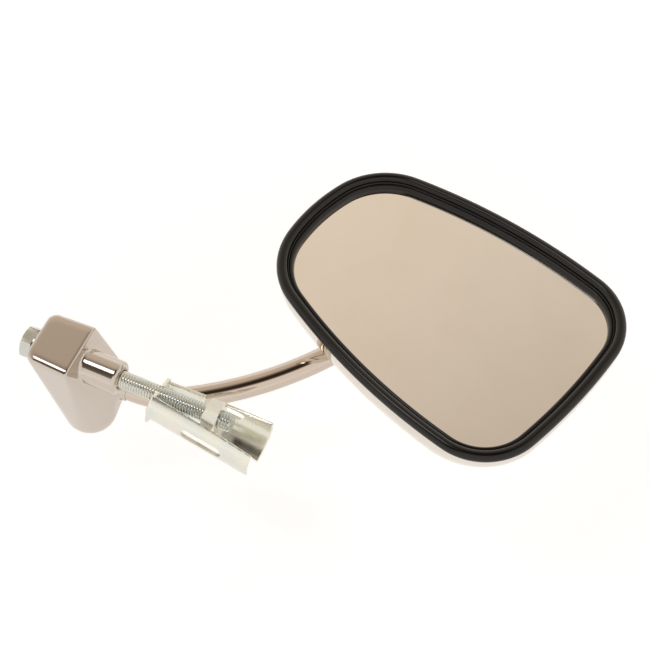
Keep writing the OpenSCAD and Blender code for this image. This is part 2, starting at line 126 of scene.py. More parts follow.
def meshPiece(name, points, quads, caps=(), sharpAngle=35):
    # points is an (n, 3) array in mm, caps are whole end loops
    mesh = bpy.data.meshes.new(name)
    faces = np.asarray(quads).tolist() + [list(c) for c in caps]
    mesh.from_pydata((np.asarray(points) * mm).tolist(), [], faces)
    mesh.validate()
    mesh.polygons.foreach_set("use_smooth", np.ones(len(mesh.polygons), bool))
    mesh.set_sharp_from_angle(angle=np.radians(sharpAngle))
    return linked(name, mesh)


def dress(piece, material, node):
    # a piece takes the body of the CAD node that it stands for
    piece.data.materials.clear()
    piece.data.materials.append(material)
    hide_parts(*([node] if isinstance(node, str) else node))
    first = node if isinstance(node, str) else node[0]
    bodies = frame["record"]["behaviour"]["bodies"]
    body = next(b for b, nodes in bodies.items() if first in nodes)
    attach(piece, body)
    return piece


def mergedCopy(node, name, sharpAngle):
    # the node's own triangles, joined at their corners and shaded smooth between sharp edges
    weldGap = 2e-6  # metres
    source = frame["nodes"][node]
    points = np.empty(len(source.data.vertices) * 3)
    source.data.vertices.foreach_get("co", points)
    points = points.reshape(-1, 3)
    keys, inverse = np.unique(
        np.round(points / weldGap).astype(np.int64), axis=0, return_inverse=True)
    inverse = inverse.reshape(-1)
    merged = np.zeros((len(keys), 3))
    merged[inverse] = points
    loops = np.empty(len(source.data.loops), int)
    source.data.loops.foreach_get("vertex_index", loops)
    triangles = inverse[loops].reshape(-1, 3)
    good = (triangles != np.roll(triangles, 1, axis=1)).all(axis=1)
    return meshPiece(name, merged / mm, triangles[good], sharpAngle=sharpAngle)


# the rim's outline, shared by shell and rim

rimOutline = {
    "length": 104.7, "narrowWidth": 57.9, "wideWidth": 79.4,
    "narrowBulge": 6.8, "wideBulge": 4.1, "sideBulge": 6.2,
    "narrowCorner": 26.6, "wideCorner": 22.6,
    "wideSteps": 12, "cornerSteps": 26, "sideSteps": 40, "narrowSteps": 12,
}


def arcRadius(chord, rise):
    # r = (chord^2 / 4 + rise^2) / (2 rise)
    return (chord * chord / 4 + rise * rise) / (2 * rise)


def crossing(c, r, d, q):
    # left-hand crossing of the circle round c with radius r and the one round d with radius q
    span = np.linalg.norm(d - c)
    along = (d - c) / span
    a = (r * r - q * q + span * span) / (2 * span)
    return c + a * along + np.sqrt(r * r - a * a) * np.array([-along[1], along[0]])


def angleOf(v):
    return np.arctan2(v[1], v[0])


def outlineLoop(shape, inset):
    # four bulged sides and four corners, all tangent arcs: centre + (radius - inset)(cos t, sin t)
    a = np.array([-shape["length"] / 2, shape["narrowWidth"] / 2])
    b = np.array([shape["length"] / 2, shape["wideWidth"] / 2])
    narrowR = arcRadius(shape["narrowWidth"], shape["narrowBulge"])
    wideR = arcRadius(shape["wideWidth"], shape["wideBulge"])
    sideR = arcRadius(np.linalg.norm(b - a), shape["sideBulge"])
    narrowAt = np.array([a[0] - shape["narrowBulge"] + narrowR, 0])
    wideAt = np.array([b[0] + shape["wideBulge"] - wideR, 0])
    outward = np.array([-(b - a)[1], (b - a)[0]]) / np.linalg.norm(b - a)
    sideAt = (a + b) / 2 + outward * (shape["sideBulge"] - sideR)
    cn, cw = shape["narrowCorner"], shape["wideCorner"]
    cnAt = crossing(sideAt, sideR - cn, narrowAt, narrowR - cn)
    cwAt = crossing(wideAt, wideR - cw, sideAt, sideR - cw)
    arcs = [
        (wideAt, wideR, 0.0, angleOf(cwAt - wideAt), shape["wideSteps"]),
        (cwAt, cw, angleOf(cwAt - wideAt), angleOf(cwAt - sideAt), shape["cornerSteps"]),
        (sideAt, sideR, angleOf(cwAt - sideAt), angleOf(cnAt - sideAt), shape["sideSteps"]),
        (cnAt, cn, angleOf(cnAt - sideAt), angleOf(cnAt - narrowAt), shape["cornerSteps"]),
        (narrowAt, narrowR, angleOf(cnAt - narrowAt), np.pi, shape["narrowSteps"]),
    ]
    half = []
    for centre, radius, start, end, steps in arcs:
        t = start + (end - start) * np.arange(steps) / steps
        half.append(centre + (radius - inset) * np.stack([np.cos(t), np.sin(t)], -1))
    half.append((narrowAt - np.array([narrowR - inset, 0]))[None])
    half = np.concatenate(half)
    return np.concatenate([half, half[-2:0:-1] * [1, -1]])


# the stem's path, and the head's place at its end

stemSizes = {
    "radius": 4.0, "y": 8.4, "z": -25.4, "depth": 8.0, "endGap": 0.15, "neckEnd": 6.0,
    "tilt": 5.8, "bows": [(41.4, 31.5), (134.2, 29.8)], "bowSteps": (36, 60),
    "heelRadius": 8.2, "heelSteps": 28, "ballRadius": 6.0, "neckRadius": 3.0,
    "neckLength": 8.2, "neckCone": (0.35, 0.7), "neckShare": 0.6, "coneStart": 0.5,
    "endChamfer": 0.4, "around": 64,
}
headPlace = {"turn": -18.4, "tip": -2.4, "ballOff": 19.9, "ballDepth": 11.8}

turn, tip = np.radians(headPlace["turn"]), np.radians(headPlace["tip"])
headX = np.array([np.cos(tip) * np.cos(turn), np.cos(tip) * np.sin(turn), -np.sin(tip)])
headY = np.array([-np.sin(turn), np.cos(turn), 0.0])
headZ = np.array([np.sin(tip) * np.cos(turn), np.sin(tip) * np.sin(turn), np.cos(tip)])


def bendOn(point, along, side, radius, angle, steps):
    # c(a) = p + R sin(a) t + R (1 - cos a) m, and the frame turns with it
    a = np.linspace(0, angle, steps + 1)[1:, None]
    centres = point + radius * np.sin(a) * along + radius * (1 - np.cos(a)) * side
    alongs = np.cos(a) * along + np.sin(a) * side
    sides = np.cos(a) * side - np.sin(a) * along
    return centres, alongs, sides


def stemPath(sizes):
    # straight end in the bracket, two bows in one tilted plane, then the heel into the head
    tilt = np.radians(sizes["tilt"])
    along, side = np.array([1.0, 0, 0]), np.array([0, np.cos(tilt), np.sin(tilt)])
    point = np.array([sizes["neckEnd"], sizes["y"], sizes["z"]])
    inside = sizes["neckEnd"] + sizes["depth"] - sizes["endGap"]
    centres = [point - along * d for d in (inside, inside - sizes["endChamfer"], 0)]
    alongs, sides = [along] * 3, [side] * 3
    for (radius, angle), steps in zip(sizes["bows"], sizes["bowSteps"]):
        c, t, m = bendOn(point, along, side, radius, np.radians(angle), steps)
        centres, alongs, sides = centres + list(c), alongs + list(t), sides + list(m)
        point, along, side = c[-1], t[-1], m[-1]
    heel = headZ - (headZ @ along) * along
    heel /= np.linalg.norm(heel)
    whole, steps = np.pi / 2 - np.arcsin(along @ headZ), sizes["heelSteps"]
    c, t, m = bendOn(point, along, heel, sizes["heelRadius"], whole, steps)
    # the ring's own sides keep turning about the heel's axis so that the tube doesn't twist
    axis = np.cross(along, heel).tolist()
    angles = np.linspace(0, whole, steps + 1)[1:]
    sides += [np.array(Matrix.Rotation(a, 3, axis)) @ side for a in angles]
    centres, alongs = centres + list(c), alongs + list(t)
    return np.array(centres), np.array(alongs), np.array(sides)


ballAt = stemPath(stemSizes)[0][-1] + stemSizes["neckLength"] * headZ
rimAt = ballAt + headPlace["ballOff"] * headX + headPlace["ballDepth"] * headZ
print("stem and head placed at", np.round(rimAt, 2))


def onRim(points):
    # head frame to object frame: rimAt + x headX + y headY + z headZ
    x, y, z = points[..., 0:1], points[..., 1:2], points[..., 2:3]
    return rimAt + x * headX + y * headY + z * headZ


# materials

def makeChrome(name, tone, roughness, ripple, rippleSize, smearSize=9):
    # bright chrome over nickel: polished first, so only a very faint ripple stays
    # under the plating, and faint smears from handling
    material, tree = newMaterial(name)
    place = addNode(tree, "ShaderNodeTexCoord").outputs["Object"]
    waves = addNode(tree, "ShaderNodeTexNoise", links={"Vector": place},
        Scale=patternScale(rippleSize), Detail=2.0, Roughness=0.4)
    smears = addNode(tree, "ShaderNodeTexNoise", links={"Vector": place},
        Scale=patternScale(smearSize), Detail=4.0, Roughness=0.6)
    gloss = addNode(tree, "ShaderNodeMapRange", links={"Value": smears.outputs[0]},
        i1=0.35, i2=0.7, i3=roughness, i4=roughness * 1.8)
    bump = addNode(tree, "ShaderNodeBump", links={"Height": waves.outputs[0]},
        Strength=ripple, Distance=0.0001)
    shader = addNode(tree, "ShaderNodeBsdfPrincipled",
        links={"Roughness": gloss.outputs[0], "Normal": bump.outputs[0]},
        Base_Color=linear(tone), Metallic=1.0)
    finishMaterial(tree, shader)
    return material


def makeZinc(name, tones, roughness, castSize=7, crystalSize=0.35):
    # zinc plating with a clear chromate: grey with a faint green-yellow cast,
    # dull crystals (drawn coarser than they are, to show) and a soft gloss
    material, tree = newMaterial(name)
    place = addNode(tree, "ShaderNodeTexCoord").outputs["Object"]
    cast = addNode(tree, "ShaderNodeTexNoise", links={"Vector": place},
        Scale=patternScale(castSize), Detail=3.0, Roughness=0.55)
    tint = addNode(tree, "ShaderNodeValToRGB", links={"Fac": cast.outputs[0]})
    rampStops(tint, list(zip((0.3, 0.5, 0.72), tones)))
    crystals = addNode(tree, "ShaderNodeTexVoronoi", links={"Vector": place},
        Scale=patternScale(crystalSize))
    gloss = addNode(tree, "ShaderNodeMapRange", links={"Value": cast.outputs[0]},
        i1=0.3, i2=0.75, i3=roughness, i4=roughness * 1.5)
    bump = addNode(tree, "ShaderNodeBump", links={"Height": crystals.outputs[0]},
        Strength=0.12, Distance=0.00005)
    shader = addNode(tree, "ShaderNodeBsdfPrincipled",
        links={"Base Color": tint.outputs[0], "Roughness": gloss.outputs[0],
            "Normal": bump.outputs[0]},
        Metallic=1.0)
    finishMaterial(tree, shader)
    return material


def makeMoulded(name, dark, pale, roughness, grain, strength, ior=1.5, flowSize=14):
    # moulded polymer: the tool's fine spark-eroded grain, drawn a little coarse to show,
    # and a faint tone from the way it flowed
    material, tree = newMaterial(name)
    place = addNode(tree, "ShaderNodeTexCoord").outputs["Object"]
    flow = addNode(tree, "ShaderNodeTexNoise", links={"Vector": place},
        Scale=patternScale(flowSize), Detail=3.0)
    tint = addNode(tree, "ShaderNodeValToRGB", links={"Fac": flow.outputs[0]})
    rampStops(tint, [(0.3, dark), (0.7, pale)])
    pits = addNode(tree, "ShaderNodeTexNoise", links={"Vector": place},
        Scale=patternScale(grain), Detail=3.0, Roughness=0.6)
    gloss = addNode(tree, "ShaderNodeMapRange", links={"Value": flow.outputs[0]},
        i1=0.3, i2=0.7, i3=roughness * 0.9, i4=roughness * 1.15)
    bump = addNode(tree, "ShaderNodeBump", links={"Height": pits.outputs[0]},
        Strength=strength, Distance=0.0001)
    shader = addNode(tree, "ShaderNodeBsdfPrincipled",
        links={"Base Color": tint.outputs[0], "Roughness": gloss.outputs[0],
            "Normal": bump.outputs[0]},
        IOR=ior)
    finishMaterial(tree, shader)
    return material


def makeSilvered(name, filmSize=22):
    # flat silvered glass: nearly no blur, and the faintest film of dust
    material, tree = newMaterial(name)
    place = addNode(tree, "ShaderNodeTexCoord").outputs["Object"]
    film = addNode(tree, "ShaderNodeTexNoise", links={"Vector": place},
        Scale=patternScale(filmSize), Detail=5.0, Roughness=0.6)
    gloss = addNode(tree, "ShaderNodeMapRange", links={"Value": film.outputs[0]},
        i1=0.4, i2=0.75, i3=0.015, i4=0.05)
    tint = addNode(tree, "ShaderNodeValToRGB", links={"Fac": film.outputs[0]})
    rampStops(tint, [(0.35, "f8f3ec"), (0.75, "f4eee5")])
    shader = addNode(tree, "ShaderNodeBsdfPrincipled",
        links={"Base Color": tint.outputs[0], "Roughness": gloss.outputs[0]}, Metallic=1.0)
    finishMaterial(tree, shader)
    return material


chromedDiecast = makeChrome("chromedDiecast", "cac0b6", 0.07, 0.06, 5.0)
chromedRod = makeChrome("chromedRod", "cdbfb2", 0.05, 0.04, 6.0)
chromedSheet = makeChrome("chromedSheet", "e1dace", 0.05, 0.04, 12.0)
zincPlatedSteel = makeZinc("zincPlatedSteel", ("bfc4c1", "cccec7", "d6d4c7"), 0.17)
clearZincSheet = makeZinc("clearZincSheet", ("dcdfd9", "e4e3d8", "eae6d5"), 0.2)
blackedSteel = makeChrome("blackedSteel", "6f6c68", 0.28, 0.15, 0.8)  # dark oil-blacked steel
mouldedRubber = makeMoulded("mouldedRubber", "0f0b09", "17120f", 0.17, 0.5, 0.04, 1.42)
mouldedNylon = makeMoulded("mouldedNylon", "dfdccf", "e6e4da", 0.42, 0.6, 0.08)
closedCellFoam = makeMoulded("closedCellFoam", "2f2f30", "3a3a3b", 0.85, 0.25, 0.4)
silveredGlass = makeSilvered("silveredGlass")
print("materials made")


# shell

shellSizes = {
    "setIn": 0.25, "thickness": 0.8, "edgeZ": 1.3, "depth": 18.4,
    "backLength": 0.62, "backWidth": 0.46, "cornerGrowth": 7.0, "swingRadius": 5.2,
    # how fast the outline shrinks, and how fast the wall drops, towards the back
    "lengthPower": 0.95, "widthPower": 0.4, "dropPower": 0.8,
    "steps": 40, "stepPower": 1.5, "backRings": (0.35, 0.7, 1.0),
}


def shellLoop(sizes, t, inset):
    # the outline shrinks as cos(90 t) to a power, so long sides stay steep and ends roll over
    c = max(np.cos(np.pi / 2 * t), 0.0)
    kl = sizes["backLength"] + (1 - sizes["backLength"]) * c ** sizes["lengthPower"]
    kw = sizes["backWidth"] + (1 - sizes["backWidth"]) * c ** sizes["widthPower"]
    shape = dict(rimOutline)
    for name in ("length", "sideBulge"):
        shape[name] = rimOutline[name] * kl
    for name in ("narrowWidth", "wideWidth", "narrowBulge", "wideBulge",
            "narrowCorner", "wideCorner"):
        shape[name] = rimOutline[name] * kw
    shape["wideCorner"] += sizes["cornerGrowth"] * np.sin(np.pi / 2 * t)
    return outlineLoop(shape, sizes["setIn"] * kw + inset)


def buildShell(sizes):
    # z(t) = -edge - (depth - edge) sin(90 t)^power, outside then inside,
    # joined at the rim's edge and at the swing hole
    ts = np.sin(np.pi / 2 * np.linspace(0, 1, sizes["steps"])) ** sizes["stepPower"]
    ballXy = np.array([-headPlace["ballOff"], 0.0])
    fall, wall = sizes["depth"] - sizes["edgeZ"], sizes["thickness"]
    loops = []
    for side in (0, 1):
        rings = []
        for t in ts:
            c, s = np.cos(np.pi / 2 * t), np.sin(np.pi / 2 * t)
            flat = shellLoop(sizes, t, side * wall * c)
            z = -sizes["edgeZ"] - fall * s ** sizes["dropPower"] + side * wall * s
            rings.append(np.column_stack([flat, np.full(len(flat), z)]))
        last = rings[-1]
        outward = last[:, :2] - ballXy
        outward /= np.linalg.norm(outward, axis=1)[:, None]
        hole = ballXy + sizes["swingRadius"] * outward
        for share in sizes["backRings"]:
            flat = last[:, :2] * (1 - share) + hole * share
            rings.append(np.column_stack([flat, last[:, 2]]))
        loops.append(rings)
    rings = np.array(loops[0] + loops[1][::-1])
    quads = gridQuads(len(rings), rings.shape[1], True)[:, ::-1]
    return meshPiece("chromeShell", onRim(rings.reshape(-1, 3)), quads, sharpAngle=40)


dress(buildShell(shellSizes), chromedSheet, "back_shell")
print("shell made")


# rim

rimSizes = {
    "band": 5.8, "glassDown": 2.8, "lipOver": 0.9, "glass": 2.0, "pad": 0.5, "play": 0.05,
    "steps": 6,
    # (inset, height) points of the section: foot over the shell's edge, crest, groove
    "footIn": 0.2, "footOut": 0.35, "footLift": 0.1,
    "crest": ((0.05, -0.8), (0, -0.1), (0.35, 0.8), (1.1, 1.45), (2.1, 1.7), (3.0, 1.35),
        (3.5, 0.6)),
    "groove": ((3.7, -0.35), (4.05, -0.75), (4.4, -0.55), (4.8, -0.45)),
    # the same from the band's inner edge, from the glass's back corner and from the shell's wall
    "lip": ((-0.55, -0.7), (-0.15, -1.4)), "lipFoot": 0.5,
    "hook": ((0.6, -0.4), (-0.4, -1.2), (-0.8, -2.0)),
    "heel": ((1.3, -2.0), (0.7, -1.0)), "shellGap": (0.25, 0.3),
}


def throughPoints(points, steps):
    # Catmull-Rom: each span is the cubic through its ends with the neighbours' chords as slopes
    p = np.asarray(points, float)
    padded = np.concatenate([2 * p[:1] - p[1:2], p, 2 * p[-1:] - p[-2:-1]])
    a, b, c, d = padded[:-3, None], padded[1:-2, None], padded[2:-1, None], padded[3:, None]
    t = (np.arange(steps) / steps)[None, :, None]
    squared, cubed = 2 * a - 5 * b + 4 * c - d, 3 * b - a - 3 * c + d
    curve = 0.5 * (2 * b + (c - a) * t + squared * t ** 2 + cubed * t ** 3)
    return np.concatenate([curve.reshape(-1, 2), p[-1:]])


def buildRim(sizes):
    # section (inset, height) carried round the outline; band, groove and lip are one curve
    edge = shellSizes["edgeZ"]
    wallIn = shellSizes["setIn"] + shellSizes["thickness"]
    band, down, play = sizes["band"], sizes["glassDown"], sizes["play"]
    glassEdge = band - sizes["lipOver"]
    padBack = down + sizes["glass"] + sizes["pad"]
    footZ = -edge + sizes["footLift"]
    seen = throughPoints(np.concatenate([
        [[wallIn + sizes["footIn"], footZ], [sizes["footOut"], footZ]],
        sizes["crest"], sizes["groove"], np.array(sizes["lip"]) + [band, 0],
        [[band, -down + sizes["lipFoot"]], [band, -down + play]]]), sizes["steps"])
    gapIn, gapDown = sizes["shellGap"]
    hidden = np.concatenate([
        [[glassEdge, -down + play], [glassEdge, -padBack - play]],
        np.array(sizes["hook"]) + [glassEdge, -padBack],
        np.array(sizes["heel"]) + [wallIn, -padBack],
        [[wallIn + gapIn, -edge - gapDown]]])
    rings = []
    for inset, height in np.concatenate([seen, hidden]):
        loop = outlineLoop(rimOutline, inset)
        rings.append(np.column_stack([loop, np.full(len(loop), height)]))
    rings = np.array(rings)
    quads = gridQuads(len(rings), rings.shape[1], True)
    return meshPiece("rimMoulding", onRim(rings.reshape(-1, 3)), quads, sharpAngle=50)


dress(buildRim(rimSizes), mouldedRubber, "rim_bezel")
print("rim made")


# stem

def buildStem(sizes):
    # P(s, v) = c(s) + r(s) (cos v m + sin v b): a tube whose radius runs down to the neck
    # and round the ball
    centres, alongs, sides = stemPath(sizes)
    start, end, along, side = centres[0], centres[-1], alongs[-1], sides[-1]
    radii = np.full(len(centres), sizes["radius"])
    radii[0] = sizes["radius"] - sizes["endChamfer"]
    neck, ball, reach = sizes["neckRadius"], sizes["neckLength"], sizes["ballRadius"]
    meet = ball - np.sqrt(reach ** 2 - neck ** 2)
    angles = np.linspace(np.arcsin(neck / reach), np.pi, 40)
    tailAlong = np.concatenate([
        sizes["neckCone"], [meet * sizes["neckShare"]], ball - reach * np.cos(angles)])
    tailRadii = np.concatenate([
        [sizes["radius"] - sizes["coneStart"], neck, neck],
        np.maximum(reach * np.sin(angles), speck)])
    centres = np.concatenate([[start], centres, end + tailAlong[:, None] * along])
    radii = np.concatenate([[speck], radii, tailRadii])
    alongs = np.concatenate([alongs[:1], alongs, np.repeat(along[None], len(tailAlong), 0)])
    sides = np.concatenate([sides[:1], sides, np.repeat(side[None], len(tailAlong), 0)])
    thirds = np.cross(alongs, sides)
    v = np.linspace(0, 2 * np.pi, sizes["around"], endpoint=False)[None, :, None]
    spokes = np.cos(v) * sides[:, None] + np.sin(v) * thirds[:, None]
    rings = centres[:, None] + radii[:, None, None] * spokes
    count = len(rings), sizes["around"]
    return meshPiece("bentStem", rings.reshape(-1, 3), gridQuads(*count), endCaps(*count),
        sharpAngle=30)


dress(buildStem(stemSizes), chromedRod, "stem")
print("stem made")


# bolt

boltSizes = {
    "radius": 3.0, "play": 0.02, "pitch": 1.0, "threadDepth": 0.26, "threadFrom": 6.0,
    "end": 50.4, "flank": 4.0, "runIn": 1.5, "runOut": 0.8, "runOutPast": 0.4, "tipCut": 0.5,
    "headFrom": -25.35, "headThick": 4.0, "acrossFlats": 10.0,
    "coneRadius": 4.75, "coneSlope": 1.75, "coneLength": 0.7, "coneRows": (0.25, 0.6),
    "around": 72, "step": 0.09,
}


def hexRadius(acrossFlats, angle):
    # centre to a hexagon's side: (af / 2) / cos(angle from the middle of that side)
    return acrossFlats / 2 / np.cos((angle + np.pi / 6) % (np.pi / 3) - np.pi / 6)


def buildBolt(sizes):
    # r(x, v): hexagon cut by a cone on the head, then r0 - depth * ridge(x / pitch - v / 2 pi),
    # a ridge with flat crests and roots that fades in after the shank and out at the tip
    v = np.linspace(0, 2 * np.pi, sizes["around"], endpoint=False)
    x0, x1 = sizes["headFrom"], sizes["headFrom"] + sizes["headThick"]
    threadFrom, end = sizes["threadFrom"], sizes["end"]
    headXs = [x0, x0, x0 + sizes["coneRows"][0], x0 + sizes["coneRows"][1], x1]
    xs = np.concatenate([headXs, [x1, threadFrom - 1],
        np.arange(threadFrom, end - sizes["tipCut"], sizes["step"]), [end, end]])
    x = xs[:, None]
    cone = np.where(x < x0 + sizes["coneLength"],
        sizes["coneRadius"] + (x - x0) * sizes["coneSlope"], np.inf)
    head = np.minimum(hexRadius(sizes["acrossFlats"], v)[None, :], cone)
    phase = (x / sizes["pitch"] - v[None, :] / (2 * np.pi)) % 1.0
    ridge = np.clip(np.abs(phase - 0.5) * sizes["flank"] - 1, 0, 1)
    fadeIn = np.clip((x - threadFrom) / sizes["runIn"], 0, 1)
    fadeOut = np.clip((end + sizes["runOutPast"] - x) / sizes["runOut"], 0, 1)
    shank = (sizes["radius"] - sizes["play"] - sizes["threadDepth"] * ridge * fadeIn
        - (1 - fadeOut) * sizes["tipCut"])
    radii = np.where(np.arange(len(xs))[:, None] >= len(headXs), shank, head)
    radii[[0, -1]] = speck
    # the hexagon stands with two corners up and down, as it does in the photograph
    points = np.stack([x + 0 * radii, -radii * np.sin(v), radii * np.cos(v)], -1)
    count = len(xs), sizes["around"]
    return meshPiece("threadedBolt", points.reshape(-1, 3), gridQuads(*count), endCaps(*count),
        sharpAngle=38)


dress(buildBolt(boltSizes), zincPlatedSteel, "expander_bolt")
print("bolt made")


# bracket

castSizes = {
    "faceX": -3.6, "outerX": -19.7, "top": 8.8, "faceWidth": 20.4, "outerWidth": 19.2,
    "edgeAcross": 2.9, "edgeDown": 1.3, "cornerRadius": 3.2, "sideBand": 2.2,
    "faceDraft": 0.16, "outerDraft": 0.45,
    "footAt": (-6.2, 0.0, -33.0), "footRadius": 9.5,
    "stemAt": (0.0, 8.4, -25.4), "neckRadius": 5.4, "neckEnd": 6.0, "neckRound": 3.0,
    "neckMouth": 4.5, "neckPast": 1.5, "stemDepth": 8.0, "stemBore": 4.05,
    "spigotRadius": 5.8, "spigotEnd": 10.3, "chamfer": 0.7, "rootFillet": 1.1,
    "seatRadius": 6.2, "boltHole": 3.3, "grubRadius": 2.5, "grubLean": 30.0, "grubX": -2.0,
    "voxel": 0.36, "smoothing": 8,
}


def turned(name, profile, centre, around=96):
    # a (distance, radius) profile carried round an axis along x: c + (d, r sin v, r cos v)
    d, r = np.array(profile, float).T
    v = np.linspace(0, 2 * np.pi, around, endpoint=False)
    points = np.stack([
        np.broadcast_to(d[:, None], (len(d), around)),
        r[:, None] * np.sin(v), r[:, None] * np.cos(v)], -1)
    caps = [cap[::-1] for cap in endCaps(len(d), around)]
    quads = gridQuads(len(d), around)[:, ::-1]
    return meshPiece(name, points.reshape(-1, 3) + np.array(centre), quads, caps)


def grownSkin(name, form, bores, voxel, smoothing):
    # closed forms that overlap become one even skin, its edges are eased, then bores are cut
    bmesh.ops.recalc_face_normals(form, faces=form.faces)
    mesh = bpy.data.meshes.new(name)
    form.to_mesh(mesh)
    form.free()
    piece = linked(name, mesh)
    skin = piece.modifiers.new("skin", "REMESH")
    skin.mode, skin.voxel_size, skin.use_smooth_shade = "VOXEL", voxel * mm, True
    ease = piece.modifiers.new("ease", "SMOOTH")
    ease.factor, ease.iterations = 0.5, smoothing
    for bore in bores:
        cut = piece.modifiers.new(bore.name, "BOOLEAN")
        cut.operation, cut.solver, cut.object = "DIFFERENCE", "EXACT", bore
    evaluated = piece.evaluated_get(bpy.context.evaluated_depsgraph_get())
    made = bpy.data.meshes.new_from_object(evaluated)
    piece.modifiers.clear()
    piece.data = made
    for bore in bores:
        bpy.data.objects.remove(bore)
    made.polygons.foreach_set("use_smooth", np.ones(len(made.polygons), bool))
    made.set_sharp_from_angle(angle=np.radians(40))
    return piece


def takeForms(form, parts):
    # adds each part's mesh to the form and drops the part
    for part in parts:
        form.from_mesh(part.data)
        bpy.data.objects.remove(part)


def armPoints(sizes):
    # rings of a rounded trapezoid: each is inset by a (1 - sin q), b (1 - cos q) under the top
    q = np.radians(np.linspace(0, 90, 10))[:, None]
    inset = sizes["edgeAcross"] * (1 - np.sin(q))
    z = sizes["top"] - sizes["edgeDown"] * (1 - np.cos(q))
    face = sizes["faceX"] - sizes["faceDraft"] * inset
    c = sizes["cornerRadius"]
    t = np.radians(np.linspace(0, 90, 10))[None, :]
    cornerX = sizes["outerX"] + sizes["outerDraft"] * inset + c * (1 - np.sin(t))
    cornerY = sizes["outerWidth"] / 2 - inset - c * (1 - np.cos(t))
    sideX = np.concatenate([face, cornerX], 1)
    sideY = np.concatenate([sizes["faceWidth"] / 2 - inset, cornerY], 1)
    ring = np.stack([sideX, sideY, np.broadcast_to(z, sideX.shape)], -1).reshape(-1, 3)
    low = ring[-sideX.shape[1]:] + [0.0, 0.0, -sizes["sideBand"]]
    half = np.concatenate([ring, low])
    return np.concatenate([half, half * [1, -1, 1]])


def ballPoints(centre, radius, rows=40):
    # points of a sphere: c + r (sin p cos v, sin p sin v, cos p)
    p = np.linspace(0, np.pi, rows)[:, None]
    v = np.linspace(0, 2 * np.pi, rows * 2, endpoint=False)[None, :]
    ball = np.stack([np.sin(p) * np.cos(v), np.sin(p) * np.sin(v), np.cos(p) + 0 * v], -1)
    return np.array(centre) + radius * ball.reshape(-1, 3)


def hullOf(cloud):
    # the smallest convex skin round the points; what lies inside it is dropped
    mesh = bpy.data.meshes.new("cloud")
    mesh.from_pydata((cloud * mm).tolist(), [], [])
    form = bmesh.new()
    form.from_mesh(mesh)
    bpy.data.meshes.remove(mesh)
    hull = bmesh.ops.convex_hull(form, input=form.verts)
    spare = hull["geom_interior"] + hull["geom_unused"]
    spare = {vert for vert in spare if isinstance(vert, bmesh.types.BMVert)}
    bmesh.ops.delete(form, geom=list(spare))
    return form


def buildBracket(sizes):
    # hull of the top, the foot's ball and the stem's neck; spigot, collar and the bolt's seat
    # are turned; all grown into one skin
    stemAt, neckR, neckRound = sizes["stemAt"], sizes["neckRadius"], sizes["neckRound"]
    v = np.linspace(0, 2 * np.pi, 64, endpoint=False)
    neck = np.stack([0 * v, neckR * np.sin(v), neckR * np.cos(v)], -1) + stemAt
    form = hullOf(np.concatenate([
        armPoints(sizes), ballPoints(sizes["footAt"], sizes["footRadius"]),
        neck + [-sizes["stemDepth"] - sizes["neckPast"], 0, 0],
        neck + [sizes["neckEnd"] - neckRound, 0, 0]]))
    r, f = sizes["spigotRadius"], sizes["rootFillet"]
    q = np.radians(np.linspace(0, 90, 7))
    fillet = np.column_stack([sizes["faceX"] + f * (1 - np.cos(q)), r + f * (1 - np.sin(q))])
    rounds = np.column_stack([
        sizes["neckEnd"] - neckRound * np.cos(q), neckR - (neckR - sizes["neckMouth"]) * np.sin(q)])
    # the first points lie inside the arm, which takes them up
    takeForms(form, [
        turned("spigotForm", [[-8, r + f], *fillet, [sizes["spigotEnd"] - sizes["chamfer"], r],
            [sizes["spigotEnd"], r - sizes["chamfer"]]], (0, 0, 0)),
        turned("collarForm", [[-6, neckR], *rounds], stemAt),
        turned("seatForm", [[sizes["outerX"], sizes["seatRadius"]], [-10, sizes["seatRadius"]]],
            (0, 0, 0)),
    ])
    # bores run past the skin at their open ends
    bolt, stem, grub = sizes["boltHole"], sizes["stemBore"], sizes["grubRadius"]
    bores = [
        turned("boltBore", [[-30, bolt], [20, bolt]], (0, 0, 0)),
        turned("stemBore", [[-sizes["stemDepth"], stem], [12, stem]], stemAt),
        turned("grubBore", [[0, grub], [25, grub]], (0, 0, 0), 64),
    ]
    # the grub screw's hole runs down and outwards from the stem's axis
    lean = np.radians(sizes["grubLean"])
    down, ahead = np.array([0, -np.sin(lean), -np.cos(lean)]), np.array([1, 0, 0])
    grubAt = np.array(stemAt) + sizes["grubX"] * ahead
    bores[2].data.transform(axesMatrix(down, ahead, np.cross(down, ahead), grubAt))
    return grownSkin("castBracket", form, bores, sizes["voxel"], sizes["smoothing"])


dress(buildBracket(castSizes), chromedDiecast, "bracket_body")
print("bracket made")


# expander clip

clipSizes = {
    "x": 23.5, "length": 38.2, "sheet": 1.2, "closedRadius": 7.7, "openRadius": 9.5,
    "foldIn": 0.5, "foldLength": 0.8, "ear": 2.2, "earPower": 5, "hole": 4.0,
    "roll": -20.0, "hang": 6.2, "lean": 33.0, "drop": (-0.6, -0.38),
    "slotFrom": 13.4, "slotLength": 15.0, "slotWidth": 4.0, "slotDip": -9.0, "slotReach": 15,
    # each leg's edges in degrees from its own middle: lower and upper, closed end, open end
    "nearLeg": ((-48, 46), (-46, 28)), "farLeg": ((-46, 6), (-76, 40)),
    "nearFloor": (-50, 34), "farFloor": (-46, 26),
    "voxel": 0.24, "smoothing": 3,
}


